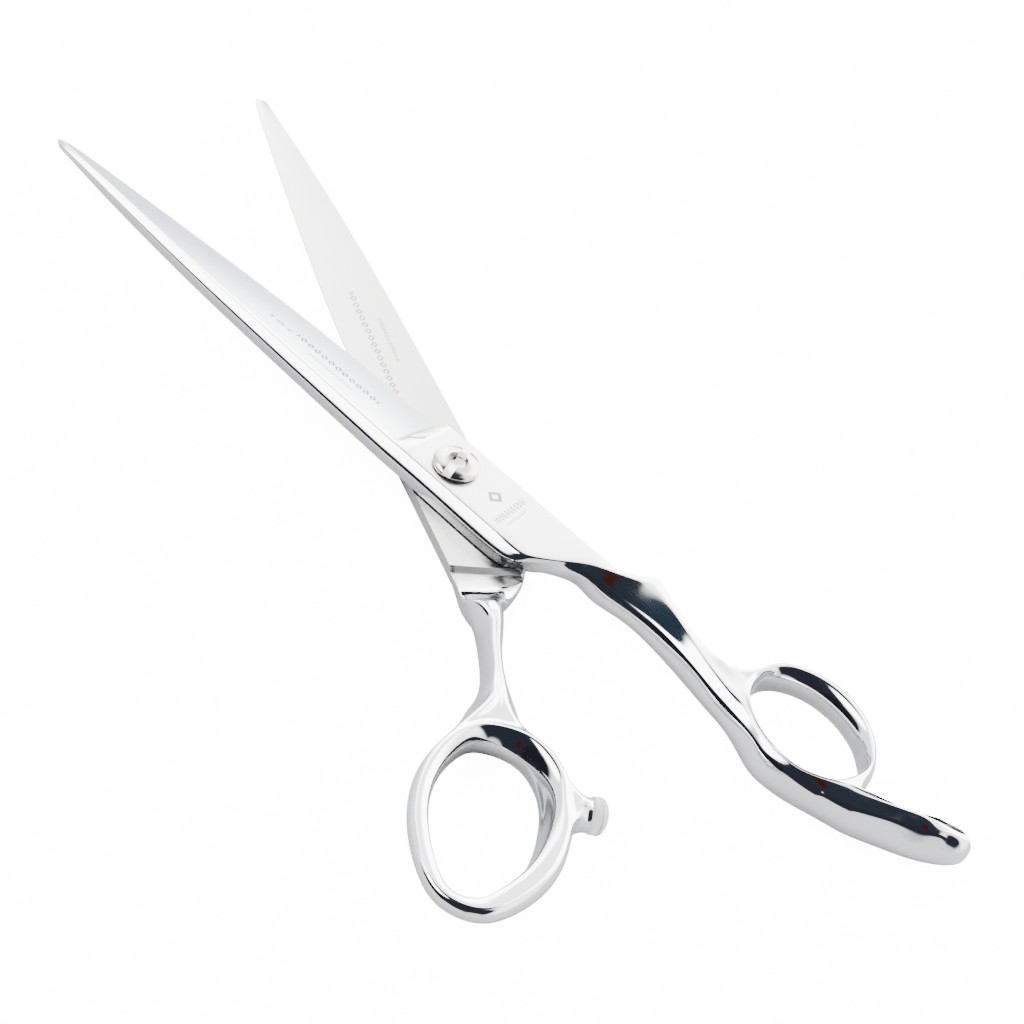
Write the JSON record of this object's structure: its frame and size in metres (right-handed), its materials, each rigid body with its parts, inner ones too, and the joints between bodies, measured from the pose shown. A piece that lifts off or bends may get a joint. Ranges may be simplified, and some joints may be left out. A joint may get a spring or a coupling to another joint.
{
  "type": "hair cutting shears",
  "caption": "Hair cutting shears with offset handles, a fixed finger rest, a slotted tension screw at the pivot and a soft stop on the thumb ring.",
  "frame": {"origin": "where the pivot axis meets the outer face of the thumb half, the flat face the shears lie on", "axes": "+Z along the pivot axis towards the screw's head; +X from the pivot towards the handles, square to the pivot axis, with the finger half's blade pointing along -X; +Y completes a right-handed frame, on the cutting edge side of the finger half"},
  "size_m": [0.1978, 0.1071, 0.0089],
  "materials": {
    "polished_steel": "mirror polished stainless steel, satin on the flats",
    "screw_steel": "polished nickel-plated steel",
    "spring_steel": "rolled spring steel",
    "white_nylon": "moulded nylon",
    "clear_silicone": "milky translucent silicone rubber"
  },
  "bodies": {
    "finger_side": {"finger_half": "polished_steel", "pivot_bush": "white_nylon", "spring_washer": "spring_steel"},
    "thumb_side": {"thumb_half": "polished_steel", "glide_washer": "white_nylon", "bumper": "clear_silicone"},
    "tension_screw": {"pivot_screw": "screw_steel"}
  },
  "joints": [
    {"name": "blade_pivot", "type": "hinge", "parent": "finger_side", "child": "thumb_side", "pos_m": [0, 0, 0.0037], "axis": [0, 0, 1], "range_deg": [-65, 23.6]},
    {"name": "screw_tension", "type": "hinge", "parent": "thumb_side", "child": "tension_screw", "pos_m": [0, 0, 0.0037], "axis": [0, 0, 1], "range_deg": [-45, 45]}
  ]
}
